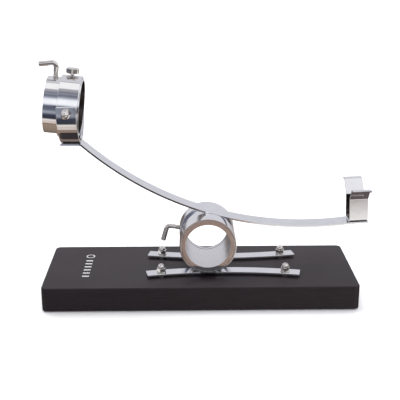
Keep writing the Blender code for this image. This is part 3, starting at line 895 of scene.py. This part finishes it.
def make_rings():
    lengthways = facing(PIVOT, HOLDER_AXIS)
    shape = ring(OUTER_BORE, OUTER_RADIUS, OUTER_LEFT, OUTER_RIGHT, 0.6 * MM)
    sleeve = piece("tilting_sleeve", shape, CHROME, "head", lengthways, ["outer_sleeve"])
    drill(sleeve, facing(PIVOT, HOLDER_UP), LOCK_HOLE, OUTER_BORE - 5 * MM, OUTER_RADIUS + 5 * MM)
    groove = RING_RADIUS - GROOVE_DEEP
    corners = [
        (RING_BORE, RING_LEFT),
        (RING_RADIUS, RING_LEFT),
        (RING_RADIUS, -GROOVE_HALF),
        (groove, -GROOVE_HALF),
        (groove, GROOVE_HALF),
        (RING_RADIUS, GROOVE_HALF),
        (RING_RADIUS, RING_RIGHT),
        (RING_BORE, RING_RIGHT),
    ]
    shape = lathe(rounded_loop(corners, 0.5 * MM), SIDES, closed=True)
    # The ring's bore is chrome darkened as painted shade
    bore = [(in_bore(RING_BORE), CHROME_SHADED)]
    stands_for = ["hoof_ring"]
    spinning = piece(
        "spinning_ring", shape, CHROME, "hoof_ring", lengthways, stands_for, inside=bore
    )
    clamp_root = PIVOT + HOLDER_AXIS * CLAMP_X
    drill(spinning, facing(clamp_root, HOLDER_UP), HOLE, RING_BORE - 5 * MM, RING_RADIUS + 5 * MM)
    root = RING_BORE - GAP
    for number, turn in ((1, -SPIKE_ANGLE), (2, SPIKE_ANGLE)):
        side = Vector((0, sin(turn), 0)) - HOLDER_UP * cos(turn)
        profile = [(0, 0), (SPIKE_RADIUS, 0), (SPIKE_RADIUS, 1 * MM)]
        profile += [(SPIKE_RADIUS * (1 - t / 8) ** 0.9, (1 + 0.86 * t) * MM) for t in range(1, 8)]
        profile += [(0, SPIKE_LONG)]
        place = facing(clamp_root + side * root, -side)
        shape = lathe(profile, 48)
        piece(f"ring_spike_{number}", shape, NICKEL, "hoof_ring", place, [f"hoof_spike_{number}"])


def make_clamp():
    tip = (CLAMP_REACH - CLAMP_ARM * sin(CLAMP_DROP), CLAMP_ARM * cos(CLAMP_DROP))
    thread_to = RING_RADIUS + 8 * MM
    path = rod_path(CLAMP_TIP, CLAMP_REACH, tip, thread_to)
    total = length_of(path)

    def radius_at(distance, angle):
        if distance < CLAMP_POINT:
            return ROD * (0.12 + 0.86 * distance / CLAMP_POINT)
        if distance < thread_to - CLAMP_TIP:
            return ROD - thread(distance, angle)
        return handle_radius(distance, total)

    matrix = plane(PIVOT + HOLDER_AXIS * CLAMP_X, HOLDER_UP, -HOLDER_AXIS)
    piece("clamp_rod", rod(path, radius_at), STEEL, "hoof_clamp", matrix, ["hoof_clamp_screw"])


def make_thumb_screw():
    """Straight-knurled head on a short neck; its tip runs in the ring's groove."""
    ridges = 40
    edge = 0.9 * MM
    shank_to = OUTER_RADIUS + 0.6 * MM
    tip = RING_RADIUS - GROOVE_DEEP + GAP
    profile = [(0, tip), (LOCK_SHANK - 0.8 * MM, tip), (LOCK_SHANK, tip + 0.8 * MM)]
    turns = int((shank_to - tip - 0.8 * MM) / (THREAD_PITCH / 6))
    profile += [(LOCK_SHANK, tip + 0.8 * MM + step * THREAD_PITCH / 6) for step in range(1, turns)]
    profile += [(LOCK_SHANK * 0.95, shank_to), (LOCK_SHANK * 0.95, shank_to + 1 * MM)]
    profile += [(4.3 * MM, shank_to + 1.8 * MM), (4.6 * MM, LOCK_HEAD_LOW)]
    profile += [(LOCK_HEAD - edge, LOCK_HEAD_LOW)]
    profile += [(LOCK_HEAD, LOCK_HEAD_LOW + edge), (LOCK_HEAD, LOCK_HEAD_HIGH - edge)]
    profile += arc((LOCK_HEAD - edge, LOCK_HEAD_HIGH - edge), edge, 0.15 * pi, 0.5 * pi, 4)
    profile += [(LOCK_HEAD * 0.62, LOCK_HEAD_HIGH), (LOCK_HEAD * 0.56, LOCK_HEAD_HIGH - 0.5 * MM)]
    profile += [(0, LOCK_HEAD_HIGH - 0.5 * MM)]

    def warp(radius, height, angle):
        if radius == LOCK_SHANK:
            return LOCK_SHANK - thread(height, angle)
        if radius > LOCK_HEAD - 0.3 * MM:
            return radius - 0.42 * MM * abs(2 * ((angle * ridges / (2 * pi)) % 1) - 1)
        return radius

    shape = lathe(profile, ridges * 6, warp=warp)
    matrix = facing(PIVOT, HOLDER_UP)
    piece("thumb_screw", shape, STEEL, "ring_lock", matrix, ["ring_lock_screw"], sharp=radians(30))


# ---------------------------------------------------------------- print on the board


def make_print():
    """A plain ring and six short bars, printed across the board's left end."""
    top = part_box("base_board")[1].z
    thick = 0.08 * MM
    x, y = -197 * MM, 44 * MM
    shape = ring(5.6 * MM, 7.2 * MM, 0, thick, thick / 4, 96)
    piece("print_ring", shape, INK, "base", Matrix.Translation((x, y, top - thick / 2)))
    for number in range(1, 7):
        along = (37 - 13 * number) * MM
        path = [(x - 5.6 * MM, along), (x + 5.6 * MM, along)]
        shape = ribbon(path, 4 * MM, thick, thick / 4)
        piece(f"print_bar_{number}", shape, INK, "base", Matrix.Translation((0, 0, top)))


# ---------------------------------------------------------------- stage, light and camera


def make_floor():
    shape = bmesh.new()
    half = 14
    corners = ((-half, -half, 0), (half, -half, 0), (half, half, 0), (-half, half, 0))
    shape.faces.new([shape.verts.new(corner) for corner in corners])
    mesh = bpy.data.meshes.new("floor")
    shape.to_mesh(mesh)
    shape.free()
    floor = bpy.data.objects.new("floor", mesh)
    bpy.context.scene.collection.objects.link(floor)
    material, nodes, shader, place = new_material("pale_floor")
    tone = nodes.ramp(nodes.noise(place, 3, 2), ((0.3, (0.93, 0.93, 0.93)), (0.7, (0.95, 0.95, 0.95))))
    nodes.link(tone, shader.inputs["Base Color"])
    shader.inputs["Roughness"].default_value = 0.9
    shader.inputs["Specular IOR Level"].default_value = 0.1
    mesh.materials.append(material)
    floor.visible_glossy = False


# The surroundings that chrome reflects, as (degrees round the X axis, colour):
# 0 is the horizon in front, 90 straight up and -90 straight down
PALE = (0.68, 0.68, 0.73)
SKY = (
    (-3, (0.10, 0.10, 0.13)),
    (9, (0.12, 0.12, 0.15)),
    (14, (0.84, 0.85, 0.88)),
    (60, (0.88, 0.88, 0.92)),
    (106, (0.90, 0.90, 0.94)),
    (114, PALE),
    (180, PALE),
)
STRIPED_SKY = (
    (-14, (0.32, 0.34, 0.41)),
    (-8, (0.14, 0.155, 0.20)),
    (3, (0.12, 0.13, 0.18)),
    (8, (0.19, 0.205, 0.27)),
    (13, (0.72, 0.75, 0.84)),
    (18, (1.04, 1.06, 1.10)),
    (32, (1.00, 1.02, 1.06)),
    (38, (0.56, 0.58, 0.67)),
    (43, (0.27, 0.28, 0.34)),
    (49, (0.16, 0.17, 0.22)),
    (57, (0.30, 0.31, 0.37)),
    (61, (0.17, 0.18, 0.22)),
    (66, (0.34, 0.34, 0.39)),
    (75, (0.44, 0.43, 0.46)),
    (79, (1.00, 0.99, 1.00)),
    (106, (1.00, 1.00, 1.00)),
    (109, (0.40, 0.40, 0.43)),
    (113, PALE),
    (180, PALE),
)
LEFT_GROUND = (
    (-180, PALE),
    (-172, (0.15, 0.13, 0.12)),
    (-140, (0.20, 0.155, 0.13)),
    (-100, (0.30, 0.225, 0.18)),
    (-76, (0.33, 0.25, 0.20)),
    (-70, (0.22, 0.16, 0.13)),
    (-67, (0.74, 0.64, 0.59)),
    (-58, (0.66, 0.58, 0.54)),
    (-51, (0.90, 0.84, 0.81)),
    (-46, (0.035, 0.04, 0.055)),
    (-29, (0.05, 0.055, 0.08)),
    (-20, (0.34, 0.36, 0.43)),
)
DARK_GROUND = (
    (-180, PALE),
    (-150, (0.46, 0.43, 0.43)),
    (-110, (0.36, 0.27, 0.22)),
    (-60, (0.34, 0.25, 0.21)),
    (-30, (0.04, 0.04, 0.05)),
    (-11, (0.018, 0.018, 0.022)),
    (0, (0.03, 0.03, 0.04)),
    (8, (0.05, 0.055, 0.08)),
)
TAN_GROUND = (
    (-180, PALE),
    (-150, (0.50, 0.47, 0.47)),
    (-110, (0.36, 0.27, 0.22)),
    (-44, (0.18, 0.13, 0.11)),
    (-28, (0.32, 0.23, 0.19)),
    (-15, (0.33, 0.237, 0.195)),
    (-10, (0.05, 0.055, 0.08)),
    (8, (0.05, 0.055, 0.08)),
)
BRIGHT_GROUND = (
    (-180, PALE),
    (-160, (0.36, 0.33, 0.33)),
    (-135, (0.11, 0.086, 0.083)),
    (-84, (0.125, 0.097, 0.094)),
    (-60, (0.17, 0.13, 0.127)),
    (-52, (0.98, 0.96, 0.94)),
    (-23, (1.00, 0.98, 0.96)),
    (-19.8, (0.96, 0.94, 0.92)),
    (-18.3, (0.58, 0.53, 0.51)),
    (-17.8, (0.09, 0.085, 0.09)),
)
# From left to right, each up to a sideways direction
COLUMNS = (
    (LEFT_GROUND + STRIPED_SKY, -0.118),
    (DARK_GROUND + STRIPED_SKY[4:], -0.013),
    (TAN_GROUND + STRIPED_SKY[4:], 0.085),
    (BRIGHT_GROUND + SKY, None),
)


def make_surroundings():
    """Soft bands of light and dark for the chrome to reflect; the camera sees only plain white."""
    world = bpy.data.worlds.new("studio")
    bpy.context.scene.world = world
    world.use_nodes = True
    nodes = Nodes(world.node_tree)
    background = world.node_tree.nodes["Background"]
    direction = nodes.add("ShaderNodeTexCoord").outputs["Generated"]
    split = nodes.add("ShaderNodeSeparateXYZ")
    nodes.link(direction, split.inputs["Vector"])
    forward = nodes.maths("MULTIPLY", split.outputs["Y"], -1)
    angle = nodes.maths("ARCTAN2", split.outputs["Z"], forward)
    share = nodes.maths("ADD", nodes.maths("DIVIDE", angle, 2 * pi), 0.5)
    colour, edge = None, None
    for stops, limit in COLUMNS:
        bands = nodes.ramp(share, [((degrees + 180) / 360, tone) for degrees, tone in stops])
        if colour is None:
            colour = bands
        else:
            past = nodes.spread(split.outputs["X"], 0, 1, edge - 0.005, edge + 0.005)
            colour = nodes.mix(past, colour, bands)
        edge = limit
    seen = nodes.add("ShaderNodeLightPath").outputs["Is Camera Ray"]
    nodes.link(nodes.mix(seen, colour, (0.98, 0.98, 0.98, 1)), background.inputs["Color"])
    background.inputs["Strength"].default_value = 1.0


def make_sun(name, toward, strength, angle):
    """A wide soft lamp that chrome doesn't mirror."""
    lamp = bpy.data.lights.new(name, "SUN")
    lamp.energy = strength
    lamp.angle = radians(angle)
    made = bpy.data.objects.new(name, lamp)
    bpy.context.scene.collection.objects.link(made)
    made.rotation_euler = Vector(toward).to_track_quat("-Z", "Y").to_euler()
    made.visible_glossy = False


def make_lights():
    make_sun("overhead", (0.1, -0.45, -1), 2.6, 50)
    make_sun("front_fill", (-0.3, 0.8, -1), 0.5, 60)


def make_camera():
    data = bpy.data.cameras.new("camera")
    data.lens = 74.35
    data.sensor_width = 36
    data.clip_end = 60
    camera = bpy.data.objects.new("camera", data)
    bpy.context.scene.collection.objects.link(camera)
    camera.location = (-0.0411, -1.2698, 0.571)
    camera.rotation_euler = (radians(71.847), radians(-0.083), radians(-1.288))
    bpy.context.scene.camera = camera
    bpy.context.scene.view_settings.view_transform = "Standard"


make_board()
make_feet()
make_straps()
make_strap_fasteners()
make_hub()
make_lever()
make_hub_welds()
make_arm()
make_fork()
make_cradle()
make_pivots()
make_rings()
make_clamp()
make_thumb_screw()
make_print()
make_floor()
make_surroundings()
make_lights()
make_camera()
